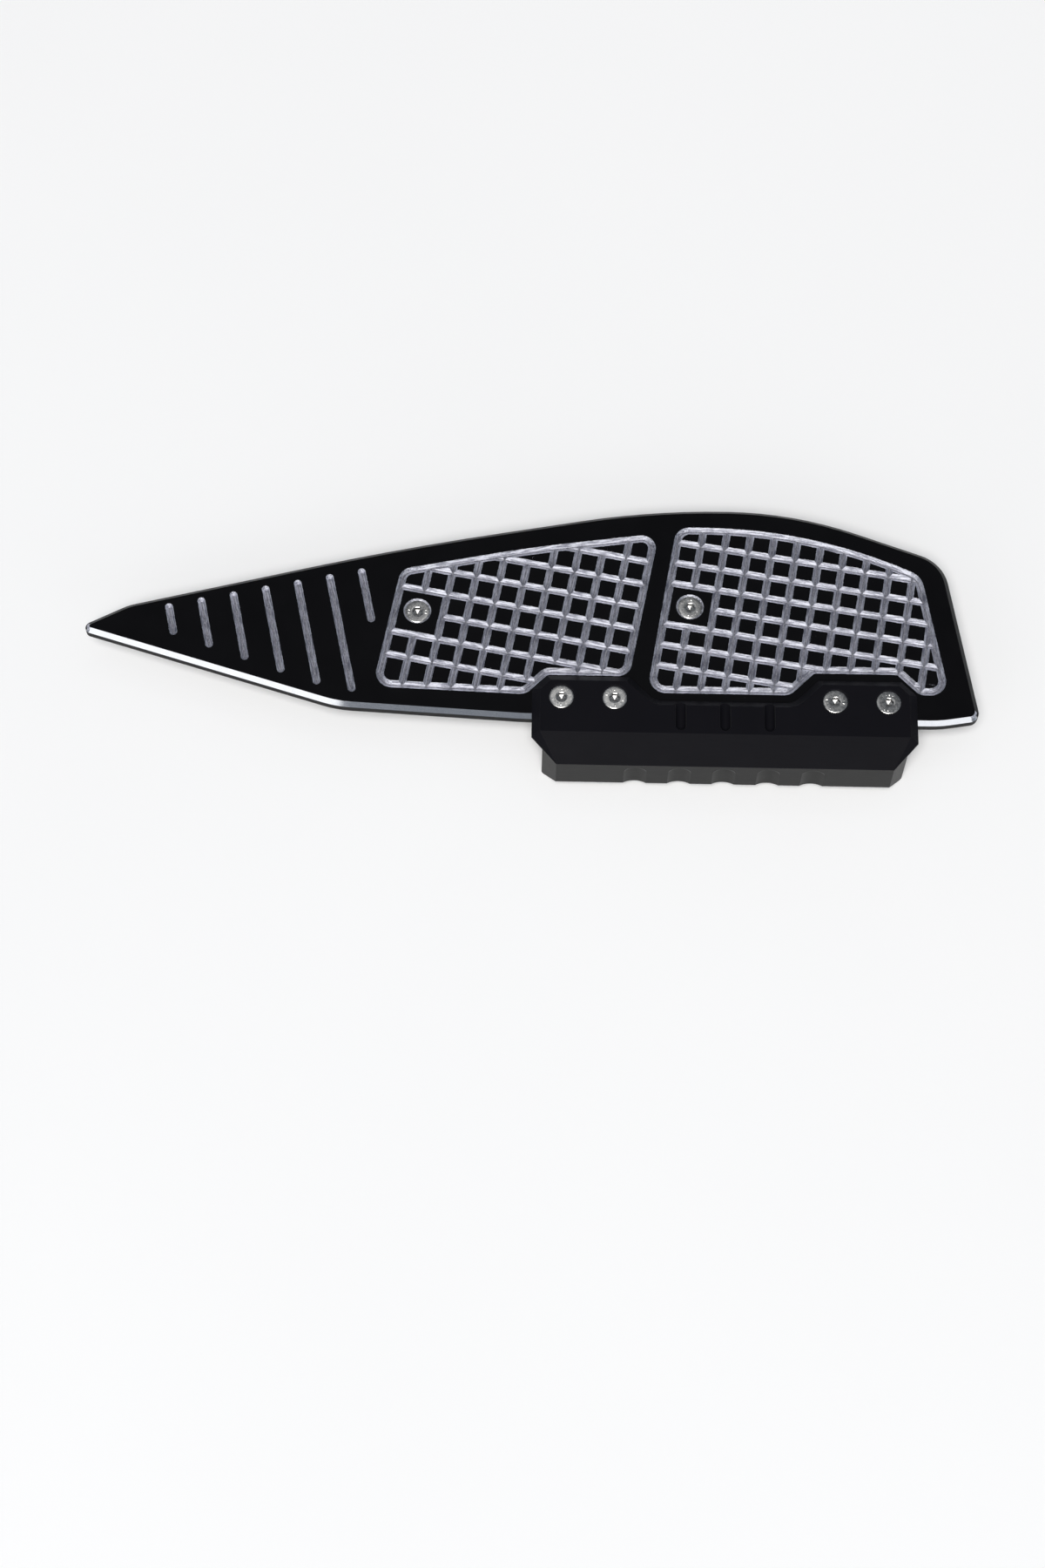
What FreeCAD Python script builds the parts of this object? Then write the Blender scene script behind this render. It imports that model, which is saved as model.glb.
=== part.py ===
import FreeCAD, Part
import Sketcher
import math
import os

# A scooter floorboard: a grooved aluminium plate with a guard block bolted to its outer edge.
# Millimetres. The origin is midway between the two plate screws on the plate's underside,
# +X runs along the guard, +Y runs inboard from the guard, and +Z is up.

# Each size is named once here. Corner rows below add a name_x, name_y and name_round to the sheet.
SIZES = (
    ("plate_thickness", 6.0),
    ("plate_bevel", 2.1),
    ("groove_floor", 0.5),
    ("groove_depth", 1.6),
    ("groove_wall_angle", 45.0),
    ("cutter_lift", 0.5),
    ("left_grid_x", -65.6),
    ("left_grid_y", -3.3),
    ("left_grid_angle", 10.4),
    ("left_column_pitch", 11.65),
    ("left_row_pitch", 12.37),
    ("right_grid_x", 66.5),
    ("right_grid_y", 2.5),
    ("right_grid_angle", 9.1),
    ("right_column_pitch", 11.62),
    ("right_row_pitch", 11.25),
    ("stripe_first_x", -187.2),
    ("stripe_first_y", -2.7),
    ("stripe_pitch", 15.5),
    ("stripe_rise", 3.5),
    ("stripe_lean", 12.3),
    ("stripe_1_length", 13.5),
    ("stripe_2_length", 23.7),
    ("stripe_3_length", 33.7),
    ("stripe_4_length", 43.8),
    ("stripe_5_length", 53.5),
    ("stripe_6_length", 60.7),
    ("stripe_7_length", 26.0),
    ("plate_screw_x", 66.35),
    ("plate_screw_y", 2.44),
    ("plate_screw_length", 20.0),
    ("plate_screw_sink", 0.4),
    ("plate_hole_clearance", 0.2),
    ("guard_centre_x", 82.75),
    ("flange_thickness", 5.0),
    ("flange_edge_bevel", 4.0),
    ("guard_crease_y", -67.4),
    ("lip_inner_y", -75.0),
    ("lip_inner_half_width", 87.3),
    ("lip_bottom_z", -20.5),
    ("lip_bevel", 7.0),
    ("flute_pitch", 21.3),
    ("slot_radius", 2.6),
    ("slot_depth", 2.4),
    ("slot_end_y", -63.2),
    ("scallop_radius", 7.7),
    ("scallop_depth", 2.3),
    ("scallop_top_z", -0.8),
    ("guard_screw_inner_x", 52.9),
    ("guard_screw_outer_x", 78.5),
    ("guard_screw_y", -49.1),
    ("guard_screw_length", 10.0),
    ("guard_screw_sink", 0.15),
    ("guard_hole_clearance", 0.2),
    ("tapped_hole_clearance", 0.05),
    ("screw_radius", 3.0),
    ("screw_neck_radius", 2.65),
    ("screw_head_radius", 6.0),
    ("screw_head_land", 0.3),
    ("screw_tip_bevel", 0.6),
    ("socket_width", 4.0),
    ("socket_depth", 2.4),
)

# The plate's outline, counterclockwise from the pointed front end: name, x, y, corner radius.
PLATE_CORNERS = (
    ("tip", -232.15, -14.5, 3.0),
    ("front_bend", -103.85, -53.4, 60.0),
    ("near_left", -13.65, -58.2, 200.0),
    ("near_right", 186.35, -58.2, 60.0),
    ("rear_corner", 206.05, -54.8, 5.0),
    ("shoulder", 190.85, 30.0, 20.0),
    ("crest_right", 117.75, 56.3, 185.0),
    ("crest_left", 48.45, 56.3, 380.0),
    ("far_bend", -74.25, 33.0, 1500.0),
    ("nose", -207.15, -1.3, 30.0),
)

# The middle line of each grid's frame groove, counterclockwise from its near left corner.
LEFT_FRAME_CORNERS = (
    ("near_left", -84.55, -41.6, 6.0),
    ("notch_low", -13.8, -44.15, 5.0),
    ("notch_high", -3.25, -33.6, 5.0),
    ("near_right", 35.35, -33.6, 5.0),
    ("far_right", 48.95, 40.2, 5.0),
    ("far_middle", -11.45, 31.7, 800.0),
    ("far_left", -73.45, 18.6, 5.5),
)
RIGHT_FRAME_CORNERS = (
    ("near_left", 47.55, -42.2, 6.0),
    ("notch_low", 113.55, -42.2, 5.0),
    ("notch_high", 125.45, -30.3, 5.0),
    ("ear_high", 167.05, -30.3, 4.0),
    ("ear_low", 177.65, -40.9, 4.0),
    ("near_right", 189.15, -40.9, 6.0),
    ("shoulder", 178.0, 20.25, 8.0),
    ("far_middle", 126.45, 44.15, 232.0),
    ("far_left", 61.45, 44.2, 6.0),
)

# Half of the guard flange's outline, counterclockwise from the outer face, measured from its middle.
FLANGE_CORNERS = (
    ("face_end", 80.5, -83.0, 0.0),
    ("side_low", 92.6, -68.8, 0.0),
    ("side_high", 92.6, -43.7, 0.0),
    ("lobe_outer", 85.4, -36.5, 0.0),
    ("lobe_inner", 45.4, -36.5, 0.0),
    ("middle", 33.2, -48.7, 9.0),
)

doc = FreeCAD.newDocument("floorboard")
sheet = doc.addObject("Spreadsheet::Sheet", "sheet")
named = {}


def name_size(alias, value):
    """Put one size in the next row of the sheet."""
    row = len(named) + 1
    sheet.set("A%d" % row, alias)
    sheet.set("B%d" % row, str(value))
    sheet.setAlias("B%d" % row, alias)
    named[alias] = value


def name_corners(outline, corners):
    """Put an outline's corners in the sheet."""
    for name, x, y, radius in corners:
        name_size("%s_%s_x" % (outline, name), x)
        name_size("%s_%s_y" % (outline, name), y)
        if radius:
            name_size("%s_%s_round" % (outline, name), radius)


for size_name, size_value in SIZES:
    name_size(size_name, size_value)
name_corners("plate", PLATE_CORNERS)
name_corners("left_frame", LEFT_FRAME_CORNERS)
name_corners("right_frame", RIGHT_FRAME_CORNERS)
name_corners("flange", FLANGE_CORNERS)
doc.recompute()


def bind(item, expressions):
    """Bind an object's sizes to the sheet."""
    for target, expression in expressions.items():
        item.setExpression(target, expression)


def constrain(sketch, kind, refs, value=None, expression=None):
    """Add one constraint, bound to the sheet where it has a size."""
    if value is None:
        return sketch.addConstraint(Sketcher.Constraint(kind, *refs))
    index = sketch.addConstraint(Sketcher.Constraint(kind, *refs, value))
    sketch.setExpression("Constraints[%d]" % index, expression)
    return index


def place_point(sketch, geometry, end, point, x_text, y_text):
    """Hold a point at a sheet position measured from the sketch's origin."""
    constrain(sketch, "DistanceX", (-1, 1, geometry, end), point.x, x_text)
    constrain(sketch, "DistanceY", (-1, 1, geometry, end), point.y, y_text)


def rounded_outline(sketch, outline, corners):
    """Draw a closed outline of lines and tangent arcs. Each corner is (name, side), side -1 mirrors x."""
    points = []
    radii = []
    for name, side in corners:
        x = side * named["%s_%s_x" % (outline, name)]
        points.append(FreeCAD.Vector(x, named["%s_%s_y" % (outline, name)], 0))
        radii.append(named.get("%s_%s_round" % (outline, name), 0))
    count = len(points)
    ahead = [(points[(i + 1) % count] - points[i]).normalize() for i in range(count)]
    starts = []
    ends = []
    turns = []
    for i in range(count):
        before = ahead[i - 1]
        turn = math.atan2(before.cross(ahead[i]).z, before.dot(ahead[i]))
        reach = radii[i] * math.tan(abs(turn) / 2)
        ends.append(points[i] - before * reach)
        starts.append(points[i] + ahead[i] * reach)
        turns.append(turn)
    lines = [sketch.addGeometry(Part.LineSegment(starts[i], ends[(i + 1) % count])) for i in range(count)]
    for i in range(count):
        name, side = corners[i]
        x_text = "%ssheet.%s_%s_x" % ("-" if side < 0 else "", outline, name)
        y_text = "sheet.%s_%s_y" % (outline, name)
        line_in = lines[i - 1]
        line_out = lines[i]
        if not radii[i]:
            constrain(sketch, "Coincident", (line_in, 2, line_out, 1))
            place_point(sketch, line_out, 1, points[i], x_text, y_text)
            continue
        left = 1 if turns[i] > 0 else -1
        normal = FreeCAD.Vector(-ahead[i - 1].y, ahead[i - 1].x, 0) * left
        centre = ends[i] + normal * radii[i]
        first = math.atan2(ends[i].y - centre.y, ends[i].x - centre.x)
        last = math.atan2(starts[i].y - centre.y, starts[i].x - centre.x)
        circle = Part.Circle(centre, FreeCAD.Vector(0, 0, 1), radii[i])
        span = (first, last) if left > 0 else (last, first)
        arc = sketch.addGeometry(Part.ArcOfCircle(circle, *span))
        arc_in, arc_out = (1, 2) if left > 0 else (2, 1)
        corner = sketch.addGeometry(Part.Point(points[i]), True)
        constrain(sketch, "Tangent", (line_in, 2, arc, arc_in))
        constrain(sketch, "Tangent", (arc, arc_out, line_out, 1))
        constrain(sketch, "PointOnObject", (corner, 1, line_in))
        constrain(sketch, "PointOnObject", (corner, 1, line_out))
        place_point(sketch, corner, 1, points[i], x_text, y_text)
        constrain(sketch, "Radius", (arc,), radii[i], "sheet.%s_%s_round" % (outline, name))


def polygon(sketch, corners):
    """Draw a closed polygon. Each corner is (x, y, x expression, y expression)."""
    points = [FreeCAD.Vector(x, y, 0) for x, y, _, _ in corners]
    count = len(points)
    lines = [sketch.addGeometry(Part.LineSegment(points[i], points[(i + 1) % count])) for i in range(count)]
    for i in range(count):
        constrain(sketch, "Coincident", (lines[i - 1], 2, lines[i], 1))
        place_point(sketch, lines[i], 1, points[i], corners[i][2], corners[i][3])


def circles(sketch, radius, radius_text, centres):
    """Draw equal circles. Each centre is (x, y, x expression, y expression)."""
    for x, y, x_text, y_text in centres:
        middle = FreeCAD.Vector(x, y, 0)
        circle = sketch.addGeometry(Part.Circle(middle, FreeCAD.Vector(0, 0, 1), radius))
        place_point(sketch, circle, 3, middle, x_text, y_text)
        constrain(sketch, "Radius", (circle,), radius, radius_text)


def body_sketch(body, name, plane, height=None):
    """Start a sketch on one of a body's own planes, raised by a sheet height."""
    sketch = body.newObject("Sketcher::SketchObject", name)
    planes = [item for item in body.Origin.OriginFeatures if item.Role == plane]
    sketch.AttachmentSupport = [(planes[0], "")]
    sketch.MapMode = "FlatFace"
    if height:
        sketch.setExpression("AttachmentOffset.Base.z", height)
    return sketch


def free_sketch(name, height):
    """Start a level sketch at a sheet height."""
    sketch = doc.addObject("Sketcher::SketchObject", name)
    sketch.setExpression("Placement.Base.z", height)
    return sketch


def extrusion(name, base, length, taper=None):
    """Raise a level outline, widening or narrowing by a sheet angle."""
    solid = doc.addObject("Part::Extrusion", name)
    solid.Base = base
    solid.DirMode = "Custom"
    solid.Dir = FreeCAD.Vector(0, 0, 1)
    solid.Solid = True
    solid.setExpression("LengthFwd", length)
    if taper:
        solid.setExpression("TaperAngle", taper)
    return solid


def drill(body, name, sketch, diameter, mouth=None):
    """Drill straight through, with a right-angled countersink where a mouth diameter is given."""
    doc.recompute()
    volume = body.Shape.Volume
    hole = body.newObject("PartDesign::Hole", name)
    hole.Profile = sketch
    hole.DepthType = "ThroughAll"
    hole.DrillPoint = "Flat"
    hole.setExpression("Diameter", diameter)
    if mouth:
        hole.HoleCutType = "Countersink"
        hole.HoleCutCustomValues = True
        hole.HoleCutCountersinkAngle = 90
        hole.setExpression("HoleCutDiameter", mouth)
    doc.recompute()
    if body.Shape.Volume > volume - 1:
        raise RuntimeError("%s removed nothing" % name)


def face_at(body, height):
    """Name the level face whose middle is at a height."""
    for index, face in enumerate(body.Shape.Faces, 1):
        low, high = face.BoundBox.ZMin, face.BoundBox.ZMax
        if abs(low - height) < 1e-6 and abs(high - height) < 1e-6:
            return "Face%d" % index
    raise RuntimeError("no level face at %g" % height)


MOUTH = "2 * (sheet.screw_head_radius + sheet.screw_head_land + sheet.%s)"
GROOVE_BASE = "sheet.plate_thickness - sheet.groove_depth"
CUTTER_HEIGHT = "sheet.groove_depth + sheet.cutter_lift"
CUTTER_HALF = "(sheet.groove_floor / 2 + (%s) * tan(sheet.groove_wall_angle))" % CUTTER_HEIGHT

guard_screw_spots = []
for part in ("inner", "outer"):
    for sign in (-1, 1):
        x_value = sign * named["guard_screw_%s_x" % part]
        text = "%ssheet.guard_screw_%s_x" % ("-" if sign < 0 else "", part)
        guard_screw_spots.append((x_value, named["guard_screw_y"], text, "sheet.guard_screw_y"))
plate_screw_spots = []
for sign in (-1, 1):
    lead = "-" if sign < 0 else ""
    spot = (sign * named["plate_screw_x"], sign * named["plate_screw_y"])
    plate_screw_spots.append(spot + (lead + "sheet.plate_screw_x", lead + "sheet.plate_screw_y"))

# The plate before its grooves: outline, bare bevel along the top edge, countersinks and tapped holes.
plate_body = doc.addObject("PartDesign::Body", "plate_body")
plate_outline = body_sketch(plate_body, "plate_outline", "XY_Plane")
rounded_outline(plate_outline, "plate", [(row[0], 1) for row in PLATE_CORNERS])
plate_pad = plate_body.newObject("PartDesign::Pad", "plate_pad")
plate_pad.Profile = plate_outline
plate_pad.setExpression("Length", "sheet.plate_thickness")
doc.recompute()
plate_bevel = plate_body.newObject("PartDesign::Chamfer", "plate_bevel")
plate_bevel.Base = (plate_pad, [face_at(plate_body, named["plate_thickness"])])
plate_bevel.setExpression("Size", "sheet.plate_bevel")
screw_spots = body_sketch(plate_body, "plate_screw_spots", "XY_Plane", "sheet.plate_thickness")
circles(screw_spots, named["screw_radius"], "sheet.screw_radius", plate_screw_spots)
plate_drill = "2 * (sheet.screw_radius + sheet.plate_hole_clearance)"
drill(plate_body, "plate_screw_holes", screw_spots, plate_drill, MOUTH % "plate_screw_sink")
tapped_spots = body_sketch(plate_body, "tapped_spots", "XY_Plane", "sheet.plate_thickness")
tapped_centres = []
for x_value, y_value, x_text, y_text in guard_screw_spots:
    plate_text = "sheet.guard_centre_x + (%s)" % x_text
    tapped_centres.append((named["guard_centre_x"] + x_value, y_value, plate_text, y_text))
circles(tapped_spots, named["screw_radius"], "sheet.screw_radius", tapped_centres)
drill(plate_body, "tapped_holes", tapped_spots, "2 * (sheet.screw_radius + sheet.tapped_hole_clearance)")


def groove_bar(name, along, place, start, end):
    """A straight groove cutter along X or Y: its middle line, and where it starts and ends."""
    bar = doc.addObject("Part::Wedge", name)
    half = "sheet.groove_floor / 2"
    bind(bar, {"Xmin": "-" + half, "Xmax": half, "X2min": "-" + CUTTER_HALF, "X2max": CUTTER_HALF})
    bind(bar, {"Ymax": CUTTER_HEIGHT, "Zmin": start, "Z2min": start, "Zmax": end, "Z2max": end})
    up = FreeCAD.Vector(0, 0, 1)
    along_x = FreeCAD.Vector(1, 0, 0)
    along_y = FreeCAD.Vector(0, 1, 0)
    side = along_y if along == "x" else -along_x
    length = along_x if along == "x" else along_y
    bar.Placement = FreeCAD.Placement(FreeCAD.Vector(), FreeCAD.Rotation(side, up, length, "XYZ"))
    bar.setExpression("Placement.Base.%s" % ("y" if along == "x" else "x"), place)
    return bar


def grid_cutter(side, corners, columns, rows_below, rows_above):
    """A framed grid of grooves. The column and row through the screw stop at the square around it.

    Every bar starts or ends well outside the frame, whose field then trims it.
    """
    column = "sheet.%s_column_pitch" % side
    row = "sheet.%s_row_pitch" % side
    reach = "sheet.plate_rear_corner_x"
    bars = []
    for index in range(1, columns):
        name = "%s_column_%d" % (side, index)
        bars.append(groove_bar(name, "y", "%d * %s" % (index, column), "-" + reach, reach))
    for index in range(-rows_below, rows_above + 1):
        start = column if index == 0 else "-" + reach
        name = "%s_row_%d" % (side, index + rows_below)
        bars.append(groove_bar(name, "x", "%d * %s" % (index, row), start, reach))
    bars.append(groove_bar("%s_column_above" % side, "y", "0 mm", row, reach))
    bars.append(groove_bar("%s_column_below" % side, "y", "0 mm", "-" + reach, "-" + row))
    lattice = doc.addObject("Part::MultiFuse", "%s_lattice" % side)
    lattice.Shapes = bars
    lattice.Placement = FreeCAD.Placement(FreeCAD.Vector(), FreeCAD.Rotation(FreeCAD.Vector(0, 0, -1), 1))
    bind(lattice, {
        "Placement.Rotation.Angle": "sheet.%s_grid_angle" % side,
        "Placement.Base.x": "sheet.%s_grid_x" % side,
        "Placement.Base.y": "sheet.%s_grid_y" % side,
        "Placement.Base.z": GROOVE_BASE,
    })
    frame = free_sketch("%s_frame_line" % side, GROOVE_BASE)
    rounded_outline(frame, "%s_frame" % side, [(corner[0], 1) for corner in corners])
    field = extrusion("%s_field" % side, frame, CUTTER_HEIGHT)
    inside = doc.addObject("Part::MultiCommon", "%s_grid" % side)
    inside.Shapes = [lattice, field]
    edges = []
    for edge, lead in (("outer", ""), ("inner", "-")):
        line = doc.addObject("Part::Offset2D", "%s_frame_%s_line" % (side, edge))
        line.Source = frame
        line.Fill = False
        line.setExpression("Value", lead + "sheet.groove_floor / 2")
        lean = lead + "sheet.groove_wall_angle"
        edges.append(extrusion("%s_frame_%s" % (side, edge), line, CUTTER_HEIGHT, lean))
    ring = doc.addObject("Part::Cut", "%s_frame_ring" % side)
    ring.Base, ring.Tool = edges
    return [inside, ring]


def stripe_cutter(index):
    """One round-ended groove, drawn along -Y from its far end and leant over."""
    name = "stripe_%d" % index
    length = named["%s_length" % name]
    half = named["groove_floor"] / 2
    line = free_sketch("%s_line" % name, GROOVE_BASE)
    up = FreeCAD.Vector(0, 0, 1)
    far = Part.Circle(FreeCAD.Vector(0, 0, 0), up, half)
    near = Part.Circle(FreeCAD.Vector(0, -length, 0), up, half)
    far_arc = line.addGeometry(Part.ArcOfCircle(far, 0, math.pi))
    near_arc = line.addGeometry(Part.ArcOfCircle(near, math.pi, 2 * math.pi))
    left = line.addGeometry(Part.LineSegment(FreeCAD.Vector(-half, 0, 0), FreeCAD.Vector(-half, -length, 0)))
    right = line.addGeometry(Part.LineSegment(FreeCAD.Vector(half, -length, 0), FreeCAD.Vector(half, 0, 0)))
    constrain(line, "Tangent", (far_arc, 2, left, 1))
    constrain(line, "Tangent", (left, 2, near_arc, 1))
    constrain(line, "Tangent", (near_arc, 2, right, 1))
    constrain(line, "Tangent", (right, 2, far_arc, 1))
    constrain(line, "Coincident", (far_arc, 3, -1, 1))
    constrain(line, "PointOnObject", (near_arc, 3, -2))
    constrain(line, "DistanceY", (near_arc, 3, far_arc, 3), length, "sheet.%s_length" % name)
    constrain(line, "Radius", (far_arc,), half, "sheet.groove_floor / 2")
    cutter = extrusion(name, line, CUTTER_HEIGHT, "sheet.groove_wall_angle")
    cutter.Placement = FreeCAD.Placement(FreeCAD.Vector(), FreeCAD.Rotation(up, 1))
    bind(cutter, {
        "Placement.Rotation.Angle": "sheet.stripe_lean",
        "Placement.Base.x": "sheet.stripe_first_x + %d * sheet.stripe_pitch" % (index - 1),
        "Placement.Base.y": "sheet.stripe_first_y + %d * sheet.stripe_rise" % (index - 1),
    })
    return cutter


cutters = [stripe_cutter(index) for index in range(1, 8)]
cutters += grid_cutter("left", LEFT_FRAME_CORNERS, 9, 2, 4)
cutters += grid_cutter("right", RIGHT_FRAME_CORNERS, 11, 3, 3)
grooves = doc.addObject("Part::MultiFuse", "grooves")
grooves.Shapes = cutters
floor_plate = doc.addObject("Part::Cut", "floor_plate")
floor_plate.Base = plate_body
floor_plate.Tool = grooves

# The guard before its flutes: bevelled flange, sloped face, hanging lip and countersinks.
guard_body = doc.addObject("PartDesign::Body", "guard_body")
flange_outline = body_sketch(guard_body, "flange_outline", "XY_Plane", "sheet.plate_thickness")
flange_corners = [(row[0], 1) for row in FLANGE_CORNERS] + [(row[0], -1) for row in reversed(FLANGE_CORNERS)]
rounded_outline(flange_outline, "flange", flange_corners)
flange_pad = guard_body.newObject("PartDesign::Pad", "flange_pad")
flange_pad.Profile = flange_outline
flange_pad.setExpression("Length", "sheet.flange_thickness")
doc.recompute()
flange_top = named["plate_thickness"] + named["flange_thickness"]
flange_bevel = guard_body.newObject("PartDesign::Chamfer", "flange_bevel")
flange_bevel.Base = (flange_pad, [face_at(guard_body, flange_top)])
flange_bevel.setExpression("Size", "sheet.flange_edge_bevel")
doc.recompute()

# The slope falls from the crease to the level where the edge bevel starts, at the outer face.
slope_volume = guard_body.Shape.Volume
slope_side = body_sketch(guard_body, "slope_side", "YZ_Plane")
face_y = named["flange_face_end_y"]
slope_low = flange_top - named["flange_edge_bevel"]
TOP_TEXT = "sheet.plate_thickness + sheet.flange_thickness"
polygon(slope_side, (
    (named["guard_crease_y"], flange_top, "sheet.guard_crease_y", TOP_TEXT),
    (face_y, flange_top, "sheet.flange_face_end_y", TOP_TEXT),
    (face_y, slope_low, "sheet.flange_face_end_y", TOP_TEXT + " - sheet.flange_edge_bevel"),
))
slope_cut = guard_body.newObject("PartDesign::Pocket", "slope_cut")
slope_cut.Profile = slope_side
slope_cut.Type = "ThroughAll"
slope_cut.Midplane = True
doc.recompute()
if guard_body.Shape.Volume > slope_volume - 1:
    raise RuntimeError("the slope removed nothing")

lip_plan = body_sketch(guard_body, "lip_plan", "XY_Plane", "sheet.lip_bottom_z")
face_x = named["flange_face_end_x"]
inner_x = named["lip_inner_half_width"]
inner_y = named["lip_inner_y"]
polygon(lip_plan, (
    (face_x, face_y, "sheet.flange_face_end_x", "sheet.flange_face_end_y"),
    (inner_x, inner_y, "sheet.lip_inner_half_width", "sheet.lip_inner_y"),
    (-inner_x, inner_y, "-sheet.lip_inner_half_width", "sheet.lip_inner_y"),
    (-face_x, face_y, "-sheet.flange_face_end_x", "sheet.flange_face_end_y"),
))
lip_pad = guard_body.newObject("PartDesign::Pad", "lip_pad")
lip_pad.Profile = lip_plan
lip_pad.setExpression("Length", "sheet.plate_thickness - sheet.lip_bottom_z")
doc.recompute()


def low_front_edge(body):
    """Name the lip's lower outer edge, which runs along X."""
    for index, edge in enumerate(body.Shape.Edges, 1):
        box = edge.BoundBox
        level = abs(box.ZMax - named["lip_bottom_z"]) < 1e-6
        if level and abs(box.YMax - face_y) < 1e-6:
            return "Edge%d" % index
    raise RuntimeError("no lower outer edge on the lip")


lip_bevel = guard_body.newObject("PartDesign::Chamfer", "lip_bevel")
lip_bevel.Base = (lip_pad, [low_front_edge(guard_body)])
lip_bevel.setExpression("Size", "sheet.lip_bevel")
guard_spots = body_sketch(guard_body, "guard_screw_spots", "XY_Plane", TOP_TEXT)
circles(guard_spots, named["screw_radius"], "sheet.screw_radius", guard_screw_spots)
guard_drill = "2 * (sheet.screw_radius + sheet.guard_hole_clearance)"
drill(guard_body, "guard_screw_holes", guard_spots, guard_drill, MOUTH % "guard_screw_sink")


def flute(name, along, radius, x_text, y_text, z_text, length):
    """A ball-ended cutter that runs inboard along +Y or down along -Z."""
    rod = doc.addObject("Part::Cylinder", name + "_rod")
    bind(rod, {"Radius": radius, "Height": length})
    ball = doc.addObject("Part::Sphere", name + "_ball")
    ball.setExpression("Radius", radius)
    direction = FreeCAD.Vector(0, 1, 0) if along == "y" else FreeCAD.Vector(0, 0, -1)
    rod.Placement = FreeCAD.Placement(FreeCAD.Vector(), FreeCAD.Rotation(FreeCAD.Vector(0, 0, 1), direction))
    for item in (rod, ball):
        bind(item, {"Placement.Base.x": x_text, "Placement.Base.y": y_text, "Placement.Base.z": z_text})
    cutter = doc.addObject("Part::MultiFuse", name)
    cutter.Shapes = [rod, ball]
    cutter.Refine = True
    return cutter


flutes = []
for step in (-1, 0, 1):
    flutes.append(flute(
        "slot_%d" % (step + 2), "y", "sheet.slot_radius",
        "sheet.guard_centre_x + %d * sheet.flute_pitch" % step, "sheet.slot_end_y",
        TOP_TEXT + " + sheet.slot_radius - sheet.slot_depth", "-sheet.slot_end_y"))
for step in (-2, -1, 0, 1, 2):
    flutes.append(flute(
        "scallop_%d" % (step + 3), "z", "sheet.scallop_radius",
        "sheet.guard_centre_x + %d * sheet.flute_pitch" % step,
        "sheet.flange_face_end_y + sheet.scallop_depth - sheet.scallop_radius",
        "sheet.scallop_top_z", "sheet.plate_thickness - sheet.lip_bottom_z"))
guard_body.setExpression("Placement.Base.x", "sheet.guard_centre_x")
side_guard = doc.addObject("Part::Cut", "side_guard")
side_guard.Base = guard_body
side_guard.Tool = doc.addObject("Part::Compound", "flutes")
side_guard.Tool.Links = flutes


def screw_body(name, necked):
    """A countersunk screw with a hexagon socket, its head's top at the origin, pointing down.

    A necked screw is slimmer under its head, and its thread starts level with the plate's underside.
    """
    body = doc.addObject("PartDesign::Body", name)
    half = body_sketch(body, name + "_half", "XZ_Plane")
    head = named["screw_head_radius"]
    radius = named["screw_radius"]
    land = named["screw_head_land"]
    bevel = named["screw_tip_bevel"]
    reach = named[name + "_length"]
    low = "-sheet.%s_length" % name
    outline = [
        (0, 0, "0", "0"),
        (0, -reach, "0", low),
        (radius - bevel, -reach, "sheet.screw_radius - sheet.screw_tip_bevel", low),
        (radius, bevel - reach, "sheet.screw_radius", low + " + sheet.screw_tip_bevel"),
    ]
    shank = "screw_radius"
    if necked:
        shank = "screw_neck_radius"
        start = named[name + "_sink"] - named["plate_thickness"]
        start_text = "sheet.%s_sink - sheet.plate_thickness" % name
        step_text = start_text + " + sheet.screw_radius - sheet.screw_neck_radius"
        outline.append((radius, start, "sheet.screw_radius", start_text))
        outline.append((named[shank], start + radius - named[shank], "sheet." + shank, step_text))
    under = "sheet.%s - sheet.screw_head_radius - sheet.screw_head_land" % shank
    outline += [
        (named[shank], named[shank] - head - land, "sheet." + shank, under),
        (head, -land, "sheet.screw_head_radius", "-sheet.screw_head_land"),
        (head, 0, "sheet.screw_head_radius", "0"),
    ]
    polygon(half, outline)
    turned = body.newObject("PartDesign::Revolution", name + "_turned")
    turned.Profile = half
    turned.ReferenceAxis = (half, ["V_Axis"])
    turned.Angle = 360
    socket = body_sketch(body, name + "_socket", "XY_Plane")
    across = named["socket_width"] / math.sqrt(3)
    corners = []
    for index in range(6):
        angle = math.radians(60 * index)
        x_text = "sheet.socket_width / sqrt(3) * cos(%d deg)" % (60 * index)
        y_text = "sheet.socket_width / sqrt(3) * sin(%d deg)" % (60 * index)
        corners.append((across * math.cos(angle), across * math.sin(angle), x_text, y_text))
    polygon(socket, corners)
    doc.recompute()
    volume = body.Shape.Volume
    pocket = body.newObject("PartDesign::Pocket", name + "_hexagon")
    pocket.Profile = socket
    pocket.setExpression("Length", "sheet.socket_depth")
    doc.recompute()
    if body.Shape.Volume > volume - 1:
        raise RuntimeError("%s has no socket" % name)
    return body


def screw_group(name, body, spots, x_lead, z_text):
    """Equal screws as separate solids in one group."""
    links = []
    for index, (_, _, x_text, y_text) in enumerate(spots, 1):
        link = doc.addObject("App::Link", "%s_%d" % (name, index))
        link.LinkedObject = body
        link.LinkTransform = False
        bind(link, {"Placement.Base.x": x_lead + x_text, "Placement.Base.y": y_text})
        link.setExpression("Placement.Base.z", z_text)
        links.append(link)
    group = doc.addObject("Part::Compound", name)
    group.Links = links
    return group


guard_screw = screw_body("guard_screw", False)
guard_screws = screw_group("guard_screws", guard_screw, guard_screw_spots,
                           "sheet.guard_centre_x + ", TOP_TEXT + " - sheet.guard_screw_sink")
plate_screw = screw_body("plate_screw", True)
plate_screws = screw_group("plate_screws", plate_screw, plate_screw_spots,
                           "", "sheet.plate_thickness - sheet.plate_screw_sink")

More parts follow.
